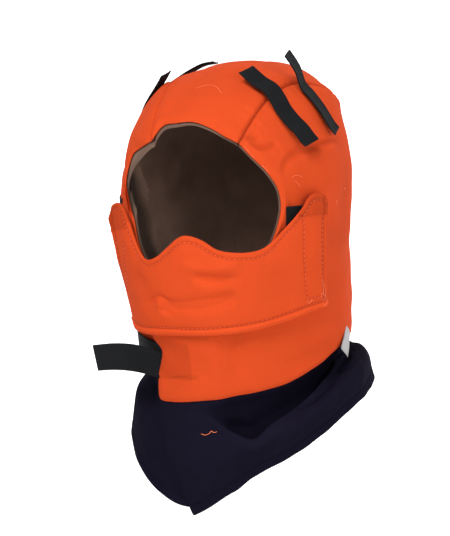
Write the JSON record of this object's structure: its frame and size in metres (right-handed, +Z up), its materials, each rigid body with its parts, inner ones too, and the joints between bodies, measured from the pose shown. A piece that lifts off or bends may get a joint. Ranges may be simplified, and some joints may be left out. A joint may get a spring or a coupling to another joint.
{
  "type": "hard hat liner",
  "caption": "Padded winter hood worn under a hard hat, with a face flap, throat closure, crown straps for the suspension and a cape over the neck.",
  "frame": {"origin": "inside of the crown, on the lining, where the top of the head meets it", "axes": "+Z up along the head, -Y the way the wearer faces, +X the wearer's left"},
  "size_m": [0.2317, 0.2779, 0.3944],
  "materials": {
    "orange_cloth": "matt woven cotton",
    "lining_cloth": "matt brown lining",
    "navy_cloth": "matt woven cotton",
    "black_tape": "hook and loop tape",
    "white_label": "satin ribbon"
  },
  "bodies": {
    "root": {"crown_panel": "orange_cloth", "side_panel_left": "orange_cloth", "side_panel_right": "orange_cloth", "face_flap": "orange_cloth", "lining_crown": "lining_cloth", "lining_left": "lining_cloth", "lining_right": "lining_cloth", "flap_loop_left": "black_tape", "flap_loop_right": "black_tape", "flap_hook_left": "black_tape", "flap_hook_right": "black_tape", "closure_tape": "black_tape", "closure_loop": "black_tape", "cape": "navy_cloth", "strap_front_left": "black_tape", "strap_front_right": "black_tape", "strap_rear_left": "black_tape", "strap_rear_right": "black_tape", "label": "white_label"}
  },
  "joints": []
}
